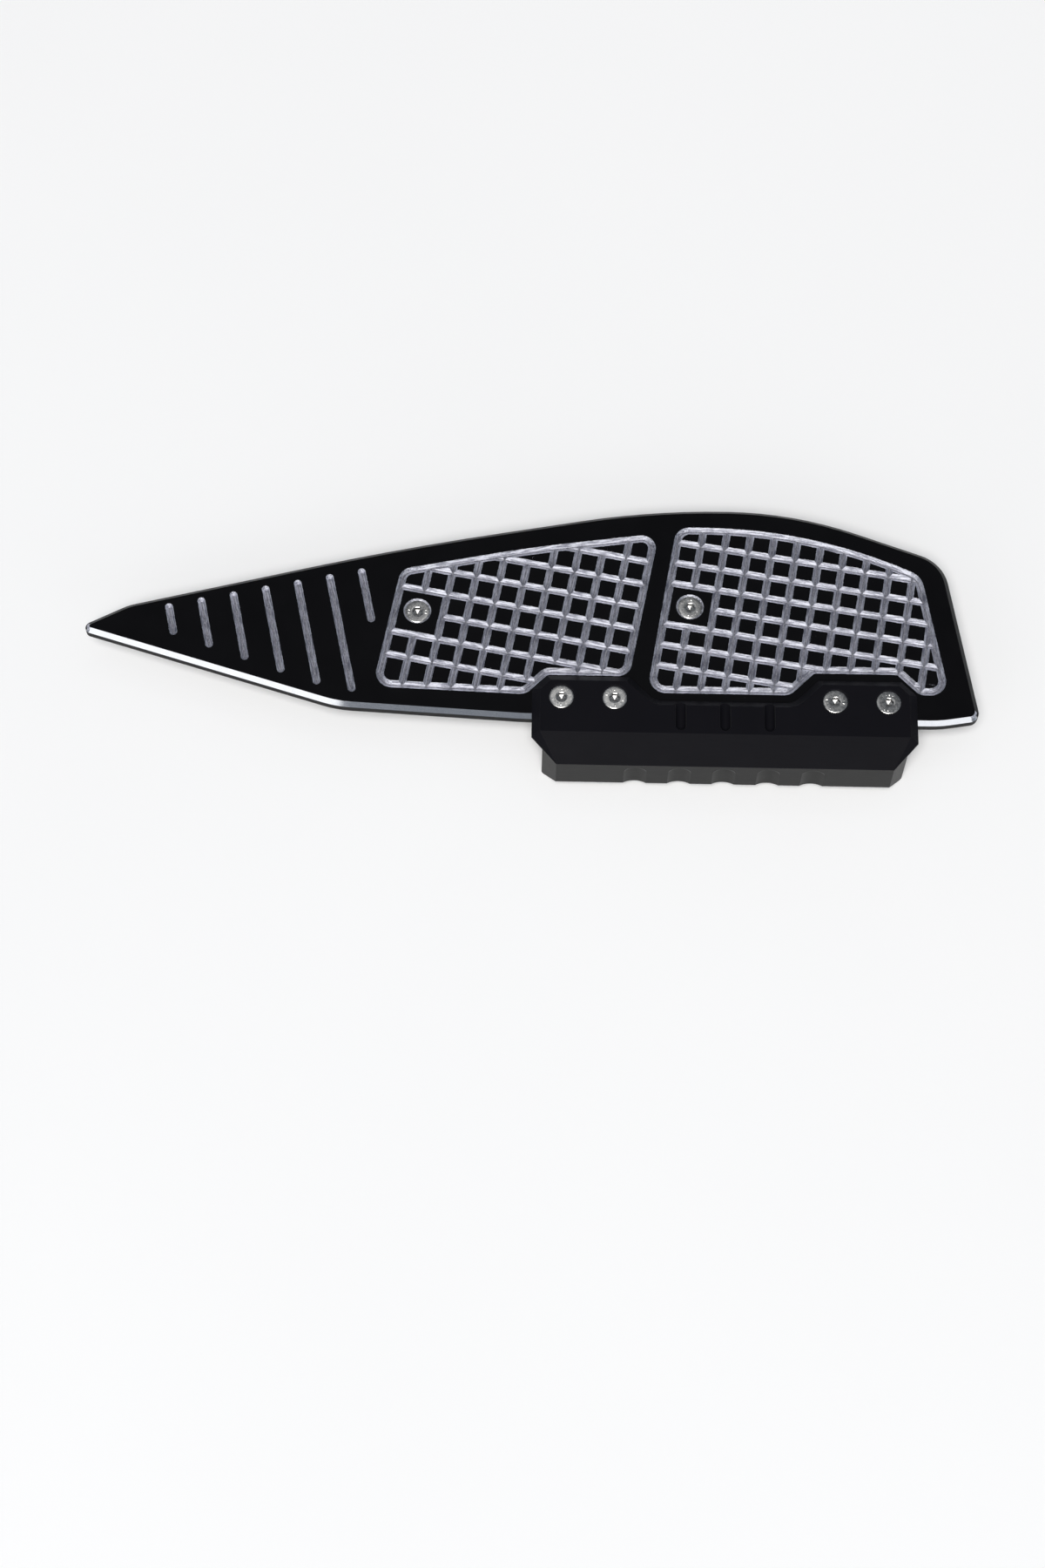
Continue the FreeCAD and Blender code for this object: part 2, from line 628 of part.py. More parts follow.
doc.recompute()
for item in doc.Objects:
    if "Invalid" in item.State or "Error" in item.State:
        raise RuntimeError("%s failed: %s" % (item.Name, item.State))
nodes = (floor_plate, side_guard, guard_screws, plate_screws)
for node in nodes:
    if node.Shape.isNull() or not node.Shape.isValid():
        raise RuntimeError("%s has no valid shape" % node.Label)
os.makedirs("parts", exist_ok=True)
for node in nodes:
    node.Shape.exportStep("parts/%s.step" % node.Label)
    print(node.Label, len(node.Shape.Solids), round(node.Shape.Volume, 1))
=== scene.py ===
import math

import bmesh
import bpy
from mathutils import Matrix, Vector, noise


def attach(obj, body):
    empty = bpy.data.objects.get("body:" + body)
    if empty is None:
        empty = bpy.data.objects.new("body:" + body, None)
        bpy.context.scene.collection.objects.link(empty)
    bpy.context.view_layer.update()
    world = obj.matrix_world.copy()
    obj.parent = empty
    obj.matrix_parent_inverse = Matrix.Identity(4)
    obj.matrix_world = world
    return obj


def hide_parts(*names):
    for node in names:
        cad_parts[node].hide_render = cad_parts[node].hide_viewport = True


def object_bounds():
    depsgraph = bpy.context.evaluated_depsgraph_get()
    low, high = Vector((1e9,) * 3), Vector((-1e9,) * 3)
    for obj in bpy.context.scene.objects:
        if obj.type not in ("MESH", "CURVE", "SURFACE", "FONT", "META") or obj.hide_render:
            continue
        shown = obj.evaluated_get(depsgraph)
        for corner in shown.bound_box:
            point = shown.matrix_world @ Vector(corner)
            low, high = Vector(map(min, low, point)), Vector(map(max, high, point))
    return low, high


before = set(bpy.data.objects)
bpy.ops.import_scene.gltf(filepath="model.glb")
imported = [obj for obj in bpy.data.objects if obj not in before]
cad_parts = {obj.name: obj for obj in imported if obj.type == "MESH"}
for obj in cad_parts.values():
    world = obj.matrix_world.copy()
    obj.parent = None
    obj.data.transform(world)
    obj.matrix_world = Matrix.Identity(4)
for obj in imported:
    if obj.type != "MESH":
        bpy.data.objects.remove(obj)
cad_low, cad_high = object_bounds()

# Lengths on the part are written in millimetres and turned into metres where they are used.
MM = 0.001
PLATE_TOP = 6.0
GROOVE_DEPTH = 1.6
GROOVE_BOTTOM = PLATE_TOP - GROOVE_DEPTH
BEVEL_BOTTOM = 3.9

# A point above this level lies on the plate's top. Faces are sorted by their lowest point, within a margin.
TOP_LEVEL = PLATE_TOP - 0.01
HEIGHT_MARGIN = 0.1

# The places of the finishes in the plate's and the screws' meshes.
TOP, GROOVE, BEVEL = 0, 1, 2
STEEL, SOCKET_WALL = 0, 1


class Nodes:
    """A node tree with short calls for the nodes used here."""

    def __init__(self, tree):
        self.tree = tree

    def add(self, kind, settings=None, inputs=None):
        node = self.tree.nodes.new(kind)
        for key, value in (settings or {}).items():
            setattr(node, key, value)
        for key, value in (inputs or {}).items():
            self.feed(node.inputs[key], value)
        return node

    def feed(self, socket, value):
        if isinstance(value, bpy.types.NodeSocket):
            self.tree.links.new(value, socket)
        else:
            socket.default_value = value

    def math(self, operation, first, second):
        node = self.add("ShaderNodeMath", {"operation": operation})
        self.feed(node.inputs[0], first)
        self.feed(node.inputs[1], second)
        return node.outputs[0]

    def ramp(self, value, low, high, to_low=0.0, to_high=1.0):
        limits = {"Value": value, "From Min": low, "From Max": high, "To Min": to_low, "To Max": to_high}
        return self.add("ShaderNodeMapRange", {"interpolation_type": "SMOOTHSTEP"}, limits).outputs["Result"]

    def noise(self, vector, scale, detail, roughness):
        inputs = {"Vector": vector, "Scale": scale, "Detail": detail, "Roughness": roughness}
        return self.add("ShaderNodeTexNoise", inputs=inputs).outputs["Fac"]

    def mix(self, factor, first, second, kind="RGBA"):
        inputs = {"Factor": factor, "A": first, "B": second}
        return self.add("ShaderNodeMix", {"data_type": kind}, inputs).outputs["Result"]

    def parts(self, vector):
        return self.add("ShaderNodeSeparateXYZ", inputs={"Vector": vector}).outputs


class Finish(Nodes):
    """A new material, with the places and normals that its texture needs."""

    def __init__(self, name):
        self.material = bpy.data.materials.new(name)
        self.material.use_nodes = True
        super().__init__(self.material.node_tree)
        self.shader = self.tree.nodes["Principled BSDF"]
        self.place = self.add("ShaderNodeTexCoord").outputs["Object"]

    def set(self, name, value):
        self.feed(self.shader.inputs[name], value)

    def stretch(self, vector, scale):
        inputs = {"Vector": vector, "Scale": scale}
        return self.add("ShaderNodeMapping", {"vector_type": "POINT"}, inputs).outputs["Vector"]

    def layout(self, name):
        return self.add("ShaderNodeUVMap", {"uv_map": name}).outputs["UV"]

    def facing(self):
        return self.parts(self.add("ShaderNodeNewGeometry").outputs["Normal"])

    def soft_edge(self, radius, samples=4):
        """The normal with edges rounded by a radius in millimetres."""
        return self.add("ShaderNodeBevel", {"samples": samples}, {"Radius": radius * MM}).outputs["Normal"]

    def turned(self, soft):
        """How far a softened normal turns away from the flat face."""
        node = self.add("ShaderNodeVectorMath", {"operation": "DOT_PRODUCT"})
        self.feed(node.inputs[0], self.add("ShaderNodeNewGeometry").outputs["True Normal"])
        self.feed(node.inputs[1], soft)
        return self.math("SUBTRACT", 1.0, node.outputs["Value"])

    def bump(self, height, strength, distance, normal=None):
        """Relief with a depth in millimetres, on top of a normal."""
        inputs = {"Strength": strength, "Distance": distance * MM, "Height": height}
        node = self.add("ShaderNodeBump", inputs=inputs)
        if normal is not None:
            self.feed(node.inputs["Normal"], normal)
        self.set("Normal", node.outputs["Normal"])


def plate_finish():
    """Satin black anodising, cut through along the groove edges, with a little dust."""
    deep_black = (0.0010, 0.0010, 0.0015, 1)
    soft_black = (0.0020, 0.0020, 0.0028, 1)
    dust_grey = (0.10, 0.10, 0.10, 1)
    bare_edge = (0.86, 0.87, 0.92, 1)
    n = Finish("plate_anodised")
    height = n.parts(n.place)["Z"]
    soft = n.soft_edge(0.22)
    ragged = n.noise(n.place, 1500.0, 3.0, 0.6)
    cut = n.math("GREATER_THAN", n.turned(soft), n.ramp(ragged, 0.3, 0.7, 0.02, 0.28))
    cut = n.math("MULTIPLY", cut, n.math("GREATER_THAN", height, (PLATE_TOP - 0.5) * MM))
    clean = n.add("ShaderNodeAttribute", {"attribute_name": "clean"}).outputs["Fac"]
    cut = n.math("MULTIPLY", cut, n.math("LESS_THAN", clean, 0.9))
    cloud = n.noise(n.place, 55.0, 3.0, 0.5)
    grain = n.noise(n.place, 9000.0, 2.0, 0.5)
    speck = n.add("ShaderNodeTexVoronoi", inputs={"Vector": n.place, "Scale": 140.0})
    near = n.math("LESS_THAN", speck.outputs["Distance"], 0.022)
    chosen = n.add("ShaderNodeSeparateColor", inputs={"Color": speck.outputs["Color"]}).outputs["Red"]
    dust = n.math("MULTIPLY", near, n.math("GREATER_THAN", chosen, 0.82))
    black = n.mix(cloud, deep_black, soft_black)
    black = n.mix(n.math("MULTIPLY", dust, 0.5), black, dust_grey)
    n.set("Base Color", n.mix(cut, black, bare_edge))
    n.set("Metallic", cut)
    texture = n.math("ADD", grain, n.math("MULTIPLY", cloud, 0.6))
    n.set("Roughness", n.ramp(texture, 0.4, 1.2, 0.40, 0.52))
    n.set("Specular IOR Level", 0.11)
    n.bump(grain, 0.10, 0.02, soft)
    return n.material


def groove_finish():
    """Bare aluminium with milling marks that run along each groove, and painted shade darkening it along its
    bottom.
    """
    dull_metal = (0.25, 0.255, 0.305, 1)
    bright_metal = (0.82, 0.825, 0.885, 1)
    cloudy_metal = (0.54, 0.54, 0.60, 1)
    painted_valley_shade = (0.17, 0.17, 0.195, 1)
    n = Finish("groove_milled")
    track = n.layout("track")
    passes = n.noise(track, 1700.0, 1.0, 0.5)
    streaks = n.noise(track, 5200.0, 3.0, 0.6)
    chatter = n.noise(n.place, 1300.0, 3.0, 0.65)
    cloud = n.noise(n.place, 90.0, 2.0, 0.5)
    tone = n.math("ADD", n.math("MULTIPLY", streaks, 0.3), n.math("MULTIPLY", chatter, 0.2))
    tone = n.math("ADD", tone, n.math("MULTIPLY", passes, 0.5))
    metal = n.mix(n.ramp(tone, 0.40, 0.60), dull_metal, bright_metal)
    metal = n.mix(n.ramp(cloud, 0.3, 0.7, 0.0, 0.22), metal, cloudy_metal)
    height = n.math("ADD", n.parts(n.place)["Z"], n.math("MULTIPLY", chatter, 0.20 * MM))
    # Painted shade: the colour darkens toward the groove floor and along the foot of its walls.
    valley_shade_mask = n.ramp(height, (GROOVE_BOTTOM + 0.08) * MM, (GROOVE_BOTTOM + 0.34) * MM, 0.5, 0.0)
    n.set("Base Color", n.mix(valley_shade_mask, metal, painted_valley_shade))
    n.set("Metallic", 1.0)
    n.set("Roughness", n.ramp(chatter, 0.25, 0.75, 0.45, 0.62))
    relief = n.math("ADD", n.math("ADD", streaks, passes), n.math("MULTIPLY", chatter, 0.7))
    n.bump(relief, 0.55, 0.07)
    return n.material


def bevel_finish():
    """A bright cut bevel with fine nicks that fades to black as it turns away from the outer side; the black
    is painted shade standing in for dark reflections there.
    """
    black = (0.0045, 0.0045, 0.0055, 1)
    clear_metal = (0.84, 0.85, 0.88, 1)
    bright_metal = (0.95, 0.96, 0.985, 1)
    nick_grey = (0.40, 0.41, 0.45, 1)
    n = Finish("bevel_cut")
    mottle = n.noise(n.place, 420.0, 3.0, 0.6)
    shift = n.math("MULTIPLY", n.math("SUBTRACT", mottle, 0.5), 0.10)
    # Painted shade: bare metal on the front of the bevel, black where it faces away, standing in for its dark
    # reflections.
    bare = n.ramp(n.math("ADD", n.facing()["Y"], shift), -0.52, -0.24, 1.0, 0.0)
    lines = n.noise(n.stretch(n.place, (0.06, 1.0, 1.0)), 5200.0, 2.0, 0.6)
    nick = n.ramp(n.noise(n.place, 900.0, 2.0, 0.7), 0.70, 0.74)
    metal = n.mix(mottle, clear_metal, bright_metal)
    metal = n.mix(n.math("MULTIPLY", nick, 0.5), metal, nick_grey)
    n.set("Base Color", n.mix(bare, black, metal))
    n.set("Metallic", bare)
    shine = n.ramp(lines, 0.25, 0.75, 0.12, 0.20)
    n.set("Roughness", n.mix(bare, 0.42, shine, "FLOAT"))
    n.set("Specular IOR Level", 0.22)
    n.bump(n.math("ADD", n.math("MULTIPLY", lines, 0.3), nick), 0.12, 0.02)
    return n.material


def guard_finish():
    """Satin black anodising with milling lines, smoother on the sides and greyer there as a painted
    reflection, and lighter at sharp edges, partly rubbed wear and partly a painted highlight.
    """
    deep_black = (0.0040, 0.0039, 0.0056, 1)
    soft_black = (0.0062, 0.0060, 0.0082, 1)
    painted_side_reflection = (0.022, 0.022, 0.0215, 1)
    rubbed_and_highlight_grey = (0.050, 0.050, 0.054, 1)
    n = Finish("guard_anodised")
    soft = n.soft_edge(0.22, 6)
    cloud = n.noise(n.place, 45.0, 3.0, 0.5)
    fine = n.noise(n.place, 7000.0, 2.0, 0.5)
    lines = n.noise(n.stretch(n.place, (0.05, 1.0, 1.0)), 2400.0, 2.0, 0.6)
    # Lighter at sharp edges: partly rubbed wear, partly a painted highlight along the edges.
    rub_and_highlight = n.math("MULTIPLY", n.ramp(n.turned(soft), 0.015, 0.2), n.ramp(cloud, 0.35, 0.65, 0.45, 1.0))
    # The upright sides get a greyer colour: a painted reflection of the pale floor.
    side = n.ramp(n.facing()["Z"], 0.25, 0.5, 1.0, 0.0)
    black = n.mix(side, n.mix(cloud, deep_black, soft_black), painted_side_reflection)
    n.set("Base Color", n.mix(rub_and_highlight, black, rubbed_and_highlight_grey))
    matt = n.ramp(n.math("ADD", lines, fine), 0.6, 1.4, 0.46, 0.58)
    n.set("Roughness", n.math("SUBTRACT", matt, n.math("MULTIPLY", side, 0.13)))
    n.set("Specular IOR Level", 0.065)
    n.bump(n.math("ADD", n.math("MULTIPLY", lines, 0.6), n.math("MULTIPLY", fine, 0.4)), 0.12, 0.03, soft)
    return n.material


def screw_finish():
    """Stainless steel with rings of fine turning marks."""
    dull_steel = (0.52, 0.51, 0.49, 1)
    bright_steel = (0.80, 0.79, 0.77, 1)
    n = Finish("screw_steel")
    rings = n.noise(n.stretch(n.layout("turn"), (0.02, 1.0, 1.0)), 9000.0, 2.0, 0.6)
    cloud = n.noise(n.place, 800.0, 3.0, 0.6)
    tone = n.math("ADD", n.math("MULTIPLY", rings, 0.5), n.math("MULTIPLY", cloud, 0.5))
    n.set("Base Color", n.mix(n.ramp(tone, 0.35, 0.65), dull_steel, bright_steel))
    n.set("Metallic", 1.0)
    n.set("Roughness", n.ramp(cloud, 0.3, 0.7, 0.20, 0.32))
    n.bump(rings, 0.10, 0.02, n.soft_edge(0.08))
    return n.material


def socket_finish():
    """The wall of a screw's socket, darkened by painted shade and worn bright in streaks."""
    painted_shade_steel = (0.05, 0.049, 0.047, 1)
    worn_steel = (0.30, 0.295, 0.285, 1)
    n = Finish("screw_socket")
    worn = n.noise(n.stretch(n.place, (1.0, 1.0, 0.3)), 1500.0, 3.0, 0.6)
    # Painted shade: the socket wall is made dark, as the recess would shade it.
    n.set("Base Color", n.mix(n.ramp(worn, 0.45, 0.65), painted_shade_steel, worn_steel))
    n.set("Metallic", 1.0)
    n.set("Roughness", n.ramp(worn, 0.35, 0.65, 0.42, 0.26))
    n.bump(worn, 0.10, 0.03, n.soft_edge(0.10))
    return n.material


def floor_finish():
    """A plain pale studio floor with a faint mottle."""
    n = Finish("studio_floor")
    cloud = n.noise(n.place, 3.0, 2.0, 0.5)
    n.set("Base Color", n.mix(cloud, (0.93, 0.93, 0.93, 1), (0.96, 0.96, 0.96, 1)))
    n.set("Roughness", 0.9)
    n.set("Specular IOR Level", 0.1)
    return n.material


def new_piece(name, bm, finishes, node):
    """Make a mesh object that stands for a node."""
    mesh = bpy.data.meshes.new(name)
    bm.to_mesh(mesh)
    bm.free()
    for finish in finishes:
        mesh.materials.append(finish)
    piece = bpy.data.objects.new(name, mesh)
    bpy.context.scene.collection.objects.link(piece)
    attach(piece, "root")
    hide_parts(node)
    return piece


# Groove ends that stop at a row instead of running on to the frame. Each is filled flush with the plate's
# top: its corners, counterclockwise, and whether the side that starts there lies on a groove.
GROOVE_FILLS = (
    ((-14.55, 26.94, True), (-10.91, 26.27, False), (-10.31, 29.55, True), (-14.20, 28.86, False)),
    ((22.06, 32.80, True), (25.70, 32.13, False), (26.25, 35.14, True), (22.39, 34.59, False)),
    ((-1.64, -31.77, True), (2.13, -31.75, False), (2.40, -30.24, True), (-1.24, -29.57, False)),
    ((-15.40, -42.20, True), (-14.30, -42.00, True), (-12.37, -40.10, True), (-14.93, -39.63, False)),
    ((179.80, -36.56, True), (179.40, -39.05, True), (181.96, -39.05, True), (183.03, -38.91, True),
     (184.03, -38.49, True), (184.90, -37.83, True), (185.24, -37.43, False)),
)

# A fill's top lies a hair below the plate's and reaches under it where they join. No bare edge shows there.
FILL_DROP = 0.002
FILL_OVERLAP = 0.4
CLEAN_REACH = 0.6

SHARP_ANGLE = math.radians(22)

# The torn groove edges: the length of a tear, how far it strays, and the scales of its waves.
TEAR_STEP = 0.55
TEAR_SIZE = 0.15
COARSE_TEAR = 1900.0
FINE_TEAR = 5200.0

# The directions of the grids' rows and columns.
ROW_WAY = Vector((0.985, -0.17, 0))
COLUMN_WAY = Vector((0.17, 0.985, 0))


def sort_surfaces(bm):
    """Give each kind of the plate's faces its finish, with flat tops and smooth walls."""
    for face in bm.faces:
        lowest = min(v.co.z for v in face.verts)
        face.material_index = TOP
        if face.normal.z > 0.3 and lowest < (PLATE_TOP - HEIGHT_MARGIN) * MM:
            if lowest > (GROOVE_BOTTOM - HEIGHT_MARGIN) * MM:
                face.material_index = GROOVE
            elif lowest > (BEVEL_BOTTOM - HEIGHT_MARGIN) * MM:
                face.material_index = BEVEL
        face.smooth = face.material_index != TOP or face.normal.z < 0.99


def spread(corners, groove_shift, joined_shift):
    """Corners with each side moved outward, by one shift on a groove and another where it joins the plate."""
    moved = []
    for index, (x, y, _) in enumerate(corners):
        sides = []
        for start in (index - 1, index):
            x0, y0, on_groove = corners[start]
            x1, y1, _ = corners[(start + 1) % len(corners)]
            length = math.hypot(x1 - x0, y1 - y0)
            shift = groove_shift if on_groove else joined_shift
            sides.append(((y1 - y0) / length, (x0 - x1) / length, shift))
        (a, b, first), (c, d, second) = sides
        scale = a * d - b * c
        moved.append((x + (first * d - second * b) / scale, y + (a * second - c * first) / scale))
    return moved


def fill_grooves(bm):
    """Close the groove ends with blocks that match the groove's own profile."""
    top_z = PLATE_TOP - FILL_DROP
    for corners in GROOVE_FILLS:
        top = [bm.verts.new(Vector((x, y, top_z)) * MM) for x, y in spread(corners, 0.0, FILL_OVERLAP)]
        base = spread(corners, GROOVE_DEPTH, -GROOVE_DEPTH)
        base = [bm.verts.new(Vector((x, y, GROOVE_BOTTOM)) * MM) for x, y in base]
        faces = [bm.faces.new(top), bm.faces.new(list(reversed(base)))]
        for index, (_, _, on_groove) in enumerate(corners):
            after = (index + 1) % len(corners)
            side = bm.faces.new((base[index], base[after], top[after], top[index]))
            side.material_index = GROOVE if on_groove else TOP
            faces.append(side)
        for face in faces:
            face.normal_update()


def tear_edges(bm):
    """Mark the sharp edges, and tear those between the top and a groove a little, as the cutter does."""
    torn = []
    for edge in bm.edges:
        edge.smooth = len(edge.link_faces) == 2 and edge.calc_face_angle() < SHARP_ANGLE
        if len(edge.link_faces) == 2 and min(v.co.z for v in edge.verts) > TOP_LEVEL * MM:
            if {face.material_index for face in edge.link_faces} == {TOP, GROOVE}:
                torn.append(edge)
    for edge in torn:
        wall = [face for face in edge.link_faces if face.material_index == GROOVE][0]
        outward = Vector((wall.normal.x, wall.normal.y, 0)).normalized()
        start, end = edge.verts[0].co.copy(), edge.verts[1].co.copy()
        count = int(edge.calc_length() / (TEAR_STEP * MM))
        near = edge.verts[0]
        for step in range(1, count + 1):
            _, near = bmesh.utils.edge_split(edge, near, 0.5)
            spot = start.lerp(end, step / (count + 1))
            wave = noise.noise(spot * COARSE_TEAR) + 0.6 * noise.noise(spot * FINE_TEAR)
            near.co = spot - outward * wave * TEAR_SIZE * MM
            edge = [other for other in near.link_edges if other.other_vert(near).co == end][0]


def mark_clean_edges(bm):
    """Mark the top's points where no bare edge shows: along the bevel and where a fill joins."""
    clean = bm.verts.layers.float.new("clean")
    sides = []
    for corners in GROOVE_FILLS:
        for index, (x, y, on_groove) in enumerate(corners):
            if not on_groove:
                after = corners[(index + 1) % len(corners)]
                sides.append((Vector((x, y)) * MM, Vector(after[:2]) * MM))
    for vert in bm.verts:
        if vert.co.z < TOP_LEVEL * MM:
            continue
        if any(face.material_index == BEVEL for face in vert.link_faces):
            vert[clean] = 1.0
        for start, end in sides:
            span = end - start
            share = min(1.0, max(0.0, (vert.co.xy - start).dot(span) / span.length_squared))
            if (vert.co.xy - start - span * share).length < CLEAN_REACH * MM:
                vert[clean] = 1.0


def lay_tracks(bm):
    """Lay the milling marks along each groove wall, and along the rows on the groove floors."""
    track = bm.loops.layers.uv.new("track")
    for face in bm.faces:
        if face.material_index != GROOVE:
            continue
        across = Vector((0, 0, 1)).cross(face.normal)
        on_floor = across.length < 0.1
        along = ROW_WAY if on_floor else across.normalized()
        for loop in face.loops:
            spot = loop.vert.co
            if on_floor:
                loop[track].uv = (spot.dot(along) * 0.6, spot.dot(COLUMN_WAY) * 0.6)
            else:
                loop[track].uv = (spot.dot(along) * 0.09, spot.z + along.x * 0.02)


def groove_plate():
    """The plate with torn groove edges and filled groove ends, and each kind of surface in its own finish."""
    bm = bmesh.new()
    bm.from_mesh(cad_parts["floor_plate"].data)
    bmesh.ops.remove_doubles(bm, verts=bm.verts[:], dist=1e-6)
    bm.normal_update()
    sort_surfaces(bm)
    fill_grooves(bm)
    tear_edges(bm)
    mark_clean_edges(bm)
    lay_tracks(bm)
    finishes = (plate_finish(), groove_finish(), bevel_finish())
    new_piece("grooved_plate", bm, finishes, "floor_plate")


def dress_guard():
    """The guard keeps its own mesh and gets a better finish."""
    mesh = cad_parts["side_guard"].data
    mesh.materials.clear()
    mesh.materials.append(guard_finish())


# A screw's rings of points are (radius, height) from the middle of its head. A radius of None follows the
# socket's hexagon.
SEGMENTS = 96
SOCKET_WIDTH = 4.0
SOCKET_RINGS = ((0.25, -2.9), (None, -2.35), (None, -0.16), (2.36, -0.03), (2.44, 0.0))
FACE_RINGS = ((3.2, 0.0), (4.2, 0.0), (5.35, 0.0))
RIM_RINGS = ((5.62, -0.03), (5.84, -0.11), (5.95, -0.22), (5.97, -0.31))
NECK_EASE = 0.03
NECK_TAPER = 0.3
TIP_RADIUS = 1.95
TIP_LENGTH = 0.6
SCREW_SHARP_ANGLE = math.radians(28)

THREAD_PITCH = 1.0
THREAD_STEPS = 36
THREAD_MAJOR = 2.97
THREAD_MINOR = 2.45
THREAD_SUNK = 0.2
THREAD_TOP_GAP = 0.05
THREAD_TIP_GAP = 0.35
THREAD_PROFILE = ((0.0, 0.0), (0.36, 1.0), (0.50, 1.0), (0.86, 0.0))

TICK_MIDDLE = 4.15
TICK_LENGTH = 1.2
TICK_WIDTH = 0.68
TICK_SPACING = 0.40
TICK_LEVELS = ((-0.30, 1.0), (-0.05, 1.0), (0.10, 0.62))

# Each head's middle, and the turn of the ticks on it.
PLATE_SPOTS = ((-66.35, -2.44, 5.6, 0.4), (66.35, 2.44, 5.6, 2.0))
GUARD_MIDDLE = 82.75
GUARD_OFFSETS = (-78.5, -52.9, 52.9, 78.5)
GUARD_SPOTS = tuple(
    (GUARD_MIDDLE + offset, -49.1, 10.85, 0.9 + 1.3 * index) for index, offset in enumerate(GUARD_OFFSETS)
)


def hexagon(angle, width):
    """How far a hexagon's side is from its middle in one direction."""
    return width / 2 / math.cos((angle + math.pi / 6) % (math.pi / 3) - math.pi / 6)


def add_rings(bm, layer, levels, middle):
    """Join rings of points about a screw's axis into a closed body."""
    rings = []
    for radius, height in levels:
        ring = []
        for index in range(SEGMENTS):
            angle = 2 * math.pi * index / SEGMENTS
            reach = hexagon(angle + math.pi / 6, SOCKET_WIDTH) if radius is None else radius
            spot = Vector((reach * math.cos(angle), reach * math.sin(angle), height)) * MM
            ring.append(bm.verts.new(spot + middle))
        rings.append(ring)
    for first, second in zip(rings, rings[1:]):
        for index in range(SEGMENTS):
            after = (index + 1) % SEGMENTS
            face = bm.faces.new((first[index], second[index], second[after], first[after]))
            face.material_index = SOCKET_WALL if first is rings[1] else STEEL
            for loop in face.loops:
                arm = loop.vert.co - middle
                loop[layer].uv = (math.atan2(arm.y, arm.x) * 0.004, arm.length)
    bm.faces.new(list(reversed(rings[0])))
    bm.faces.new(rings[-1])


def add_thread(bm, middle, start, end):
    """A thread wound from start down to end, run out at both and sunk a little into the shank."""
    total = int((start - end - THREAD_PITCH) * THREAD_STEPS)
    run_out = THREAD_STEPS * 0.5
    root = THREAD_MINOR - THREAD_SUNK
    strips = []
    for index in range(total + 1):
        angle = 2 * math.pi * index / THREAD_STEPS
        fade = min(1.0, index / run_out, (total - index) / run_out)
        strip = []
        for drop, rise in THREAD_PROFILE:
            reach = root + (THREAD_MAJOR - root) * rise * fade
            height = start - THREAD_PITCH * index / THREAD_STEPS - drop
            spot = Vector((reach * math.cos(angle), reach * math.sin(angle), height)) * MM
            strip.append(bm.verts.new(spot + middle))
        strips.append(strip)
    for first, second in zip(strips, strips[1:]):
        for step in range(len(THREAD_PROFILE)):
            after = (step + 1) % len(THREAD_PROFILE)
            bm.faces.new((first[step], first[after], second[after], second[step]))
    bm.faces.new(strips[0])
    bm.faces.new(list(reversed(strips[-1])))


def add_tick(bm, middle, angle):
    """One small raised tick on the head, with sloped sides."""
    outward = Vector((math.cos(angle), math.sin(angle), 0))
    aside = Vector((-math.sin(angle), math.cos(angle), 0))
    rings = []
    for height, slim in TICK_LEVELS:
        ring = []
        for out, side in ((-0.5, -0.5), (0.5, -0.5), (0.5, 0.5), (-0.5, 0.5)):
            spot = outward * (TICK_MIDDLE + out * TICK_LENGTH * slim) + aside * side * TICK_WIDTH * slim
            ring.append(bm.verts.new(Vector((spot.x, spot.y, height)) * MM + middle))
        rings.append(ring)
    bm.faces.new(list(reversed(rings[0])))
    bm.faces.new(rings[-1])
    for lower, upper in zip(rings, rings[1:]):
        for index in range(4):
            after = (index + 1) % 4
            bm.faces.new((lower[index], lower[after], upper[after], upper[index]))


def screws(name, node, spots, finishes, length, shank, thread_start):
    """Countersunk socket screws with a rounded rim, two groups of four ticks and a real thread."""
    bm = bmesh.new()
    layer = bm.loops.layers.uv.new("turn")
    neck = shank - NECK_EASE
    rim_radius, rim_height = RIM_RINGS[-1]
    shank_rings = (
        (neck, rim_height - rim_radius + neck), (neck, thread_start + NECK_TAPER),
        (THREAD_MINOR, thread_start), (THREAD_MINOR, TIP_LENGTH - length), (TIP_RADIUS, -length),
    )
    for x, y, z, turn in spots:
        middle = Vector((x, y, z)) * MM
        add_rings(bm, layer, SOCKET_RINGS + FACE_RINGS + RIM_RINGS + shank_rings, middle)
        add_thread(bm, middle, thread_start - THREAD_TOP_GAP, THREAD_TIP_GAP - length)
        for group in (0, math.pi):
            for step in (-1.5, -0.5, 0.5, 1.5):
                add_tick(bm, middle, turn + group + step * TICK_SPACING)
    for face in bm.faces:
        face.smooth = True
    piece = new_piece(name, bm, finishes, node)
    piece.data.set_sharp_from_angle(angle=SCREW_SHARP_ANGLE)


def lay_floor():
    """The floor lies just below the guard's lowest edge."""
    place = (0, 0, cad_low.z - 0.0002)
    bpy.ops.mesh.primitive_grid_add(x_subdivisions=8, y_subdivisions=8, size=60.0, location=place)
    floor = bpy.context.object
    floor.name = "studio_floor"
    floor.data.materials.append(floor_finish())


def aim(light, place, target):
    """Put a light in place, facing a point."""
    lamp = bpy.data.objects.new(light.name, light)
    lamp.location = place
    lamp.rotation_euler = (Vector(target) - Vector(place)).to_track_quat("-Z", "Y").to_euler()
    lamp.visible_camera = False
    bpy.context.scene.collection.objects.link(lamp)


def softbox(name, place, target, width, height, radiance):
    """A rectangular soft light of an even brightness."""
    light = bpy.data.lights.new(name, "AREA")
    light.shape = "RECTANGLE"
    light.size = width
    light.size_y = height
    light.energy = radiance * math.pi * width * height
    aim(light, place, target)


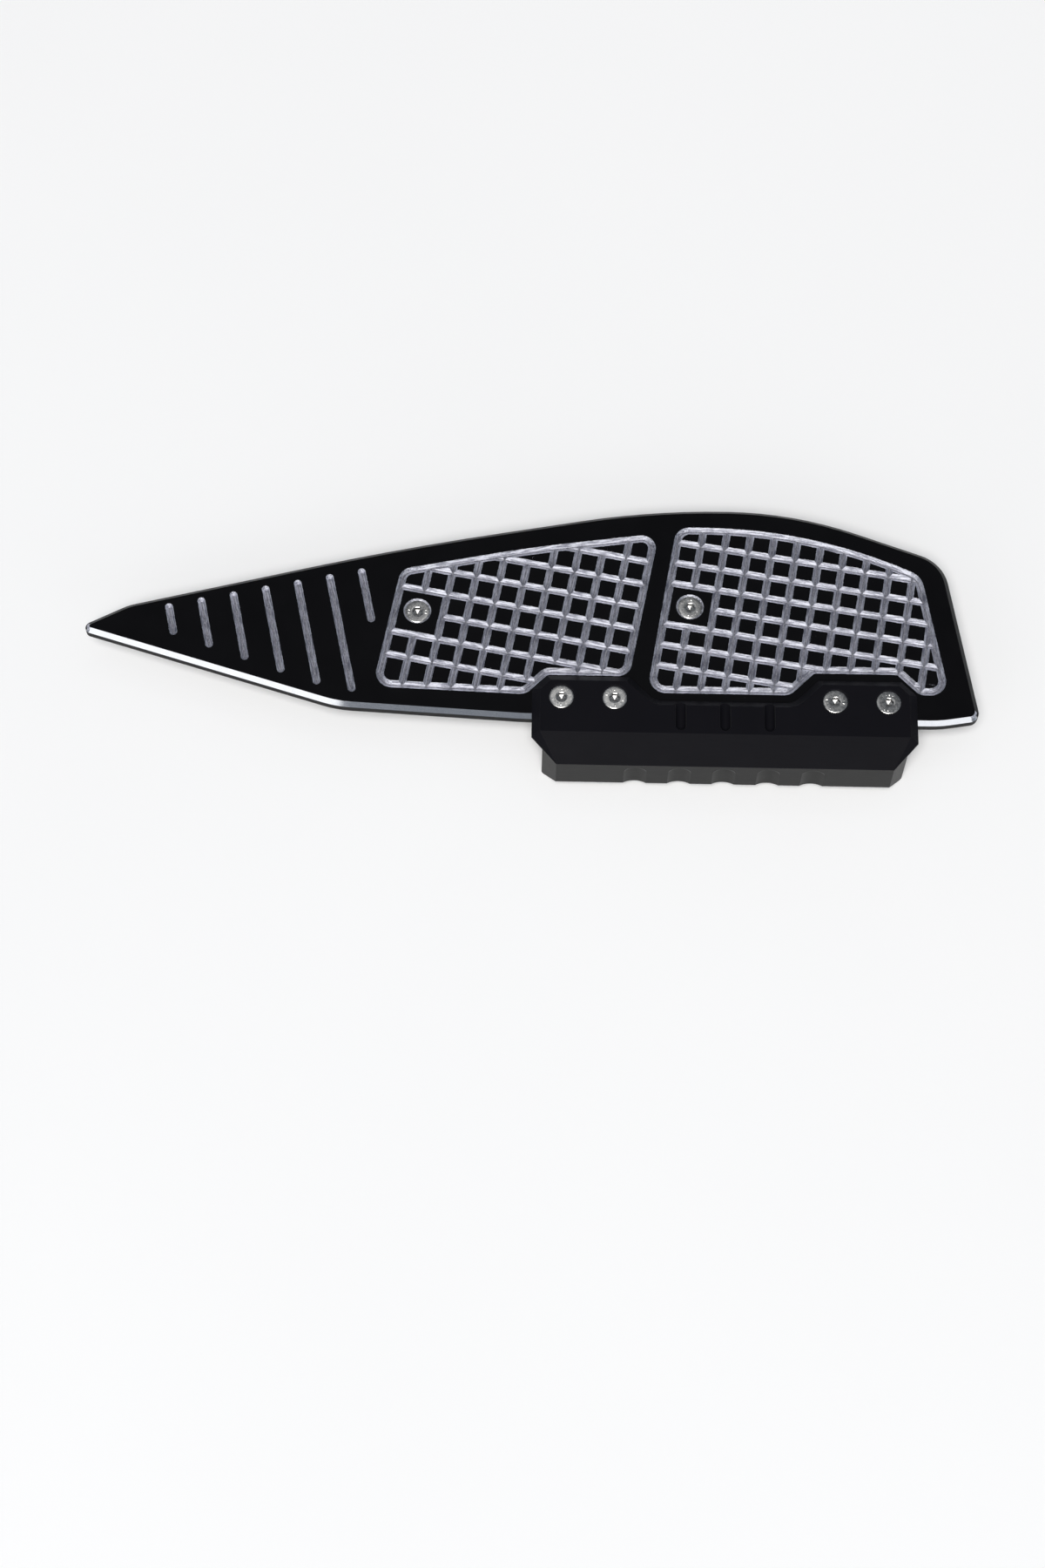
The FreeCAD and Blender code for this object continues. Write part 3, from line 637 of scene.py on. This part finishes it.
def hang_lights():
    """A broad key from the front, two boxes for the bevel and the grooves, and one behind for the heads."""
    key = bpy.data.lights.new("key", "SUN")
    key.energy = 2.65
    key.angle = math.radians(26)
    key.color = (1.0, 0.985, 0.965)
    aim(key, (-0.15, -0.74, 1.58), (0, 0, 0))
    softbox("front_left", (-0.81, -1.11, 0.62), (0, 0, 0), width=0.86, height=0.80, radiance=0.94)
    softbox("front_right", (0.60, -1.25, 0.62), (0.1, 0, 0), width=0.86, height=0.80, radiance=0.80)
    softbox("above_behind", (0.02, 0.56, 1.46), (0, 0, 0), width=0.26, height=0.20, radiance=1.7)


def light_studio():
    """A pale band round the horizon that dims upward, and more so behind."""
    world = bpy.data.worlds.new("studio")
    bpy.context.scene.world = world
    world.use_nodes = True
    sky = Nodes(world.node_tree)
    background = world.node_tree.nodes["Background"]
    way = sky.parts(sky.add("ShaderNodeTexCoord").outputs["Generated"])
    band = sky.ramp(way["Z"], 0.06, 0.26, 0.85, 0.20)
    behind = sky.ramp(way["Y"], 0.0, 0.5, 1.0, 0.5)
    dim = sky.mix(sky.ramp(way["Z"], 0.25, 0.5), 1.0, behind, "FLOAT")
    sky.feed(background.inputs["Strength"], sky.math("MULTIPLY", band, dim))
    sky.feed(background.inputs["Color"], (0.80, 0.88, 1.0, 1))


def place_camera():
    """The camera stands where the plate's grids put it, tipped a little to the left."""
    place = (-0.01365, -0.7015, 1.4118)
    elevation = math.radians(66.6)
    roll = math.radians(-1.06)
    level = Vector((1, 0, 0))
    upward = Vector((0, math.sin(elevation), math.cos(elevation)))
    right = level * math.cos(roll) - upward * math.sin(roll)
    up = level * math.sin(roll) + upward * math.cos(roll)
    back = Vector((0, -math.cos(elevation), math.sin(elevation)))
    lens = bpy.data.cameras.new("camera")
    lens.lens = 74.0
    lens.sensor_width = 36.0
    lens.clip_start = 0.01
    camera = bpy.data.objects.new("camera", lens)
    turn = Matrix((right, up, back)).transposed()
    camera.matrix_world = Matrix.Translation(place) @ turn.to_4x4()
    bpy.context.scene.collection.objects.link(camera)
    bpy.context.scene.camera = camera


screw_finishes = (screw_finish(), socket_finish())
groove_plate()
dress_guard()
screws(
    "plate_screws_threaded", "plate_screws", PLATE_SPOTS, screw_finishes,
    length=20.0, shank=2.65, thread_start=-5.65,
)
screws(
    "guard_screws_threaded", "guard_screws", GUARD_SPOTS, screw_finishes,
    length=10.0, shank=3.0, thread_start=-4.0,
)
lay_floor()
hang_lights()
light_studio()
place_camera()
bpy.context.scene.view_settings.view_transform = "Standard"
